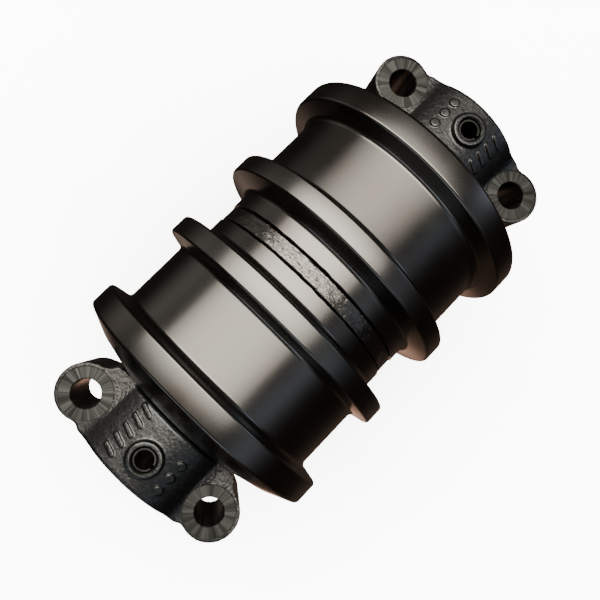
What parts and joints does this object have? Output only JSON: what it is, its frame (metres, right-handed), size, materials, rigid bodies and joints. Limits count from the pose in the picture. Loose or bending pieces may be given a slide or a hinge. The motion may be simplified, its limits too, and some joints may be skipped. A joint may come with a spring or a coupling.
{
  "type": "track roller",
  "caption": "Double-flange track roller: welded two-piece shell with flanges and treads, turning on a pinned shaft between two cast bolt-on collars.",
  "frame": {"origin": "middle of the roller shell on the centre line of the shaft", "axes": "+X along the shaft, from the end with the oil plug to the plain end; +Z out of the bolt seats, so that the mounting faces look to -Z; +Y completes the right-handed frame"},
  "size_m": [0.427, 0.2448, 0.2448],
  "materials": {
    "shell_paint": "satin black paint over machined forged steel",
    "weld_metal": "rough painted weld bead",
    "cast_paint": "gloss black paint over rough as-cast steel, bolt seats machined",
    "shaft_steel": "ground and hardened steel",
    "bushing_bronze": "turned bronze lining",
    "seal_iron": "lapped alloy iron",
    "seal_rubber": "matte black nitrile rubber",
    "spring_steel": "dark oiled spring steel",
    "plug_steel": "zinc-plated steel"
  },
  "bodies": {
    "mount": {"seal_ring_collar_left": "seal_iron", "toric_ring_collar_left": "seal_rubber", "collar_left": "cast_paint", "shaft_o_ring_left": "seal_rubber", "spring_pin_left": "spring_steel", "seal_ring_collar_right": "seal_iron", "toric_ring_collar_right": "seal_rubber", "collar_right": "cast_paint", "shaft_o_ring_right": "seal_rubber", "spring_pin_right": "spring_steel", "shaft": "shaft_steel", "oil_plug": "plug_steel", "oil_plug_seal": "seal_rubber"},
    "roller": {"shell_half_left": "shell_paint", "bushing_left": "bushing_bronze", "seal_ring_roller_left": "seal_iron", "toric_ring_roller_left": "seal_rubber", "shell_half_right": "shell_paint", "bushing_right": "bushing_bronze", "seal_ring_roller_right": "seal_iron", "toric_ring_roller_right": "seal_rubber", "weld_bead": "weld_metal"}
  },
  "joints": [
    {"name": "roller_spin", "type": "hinge", "parent": "mount", "child": "roller", "pos_m": [0, 0, 0], "axis": [1, 0, 0], "continuous": true}
  ]
}
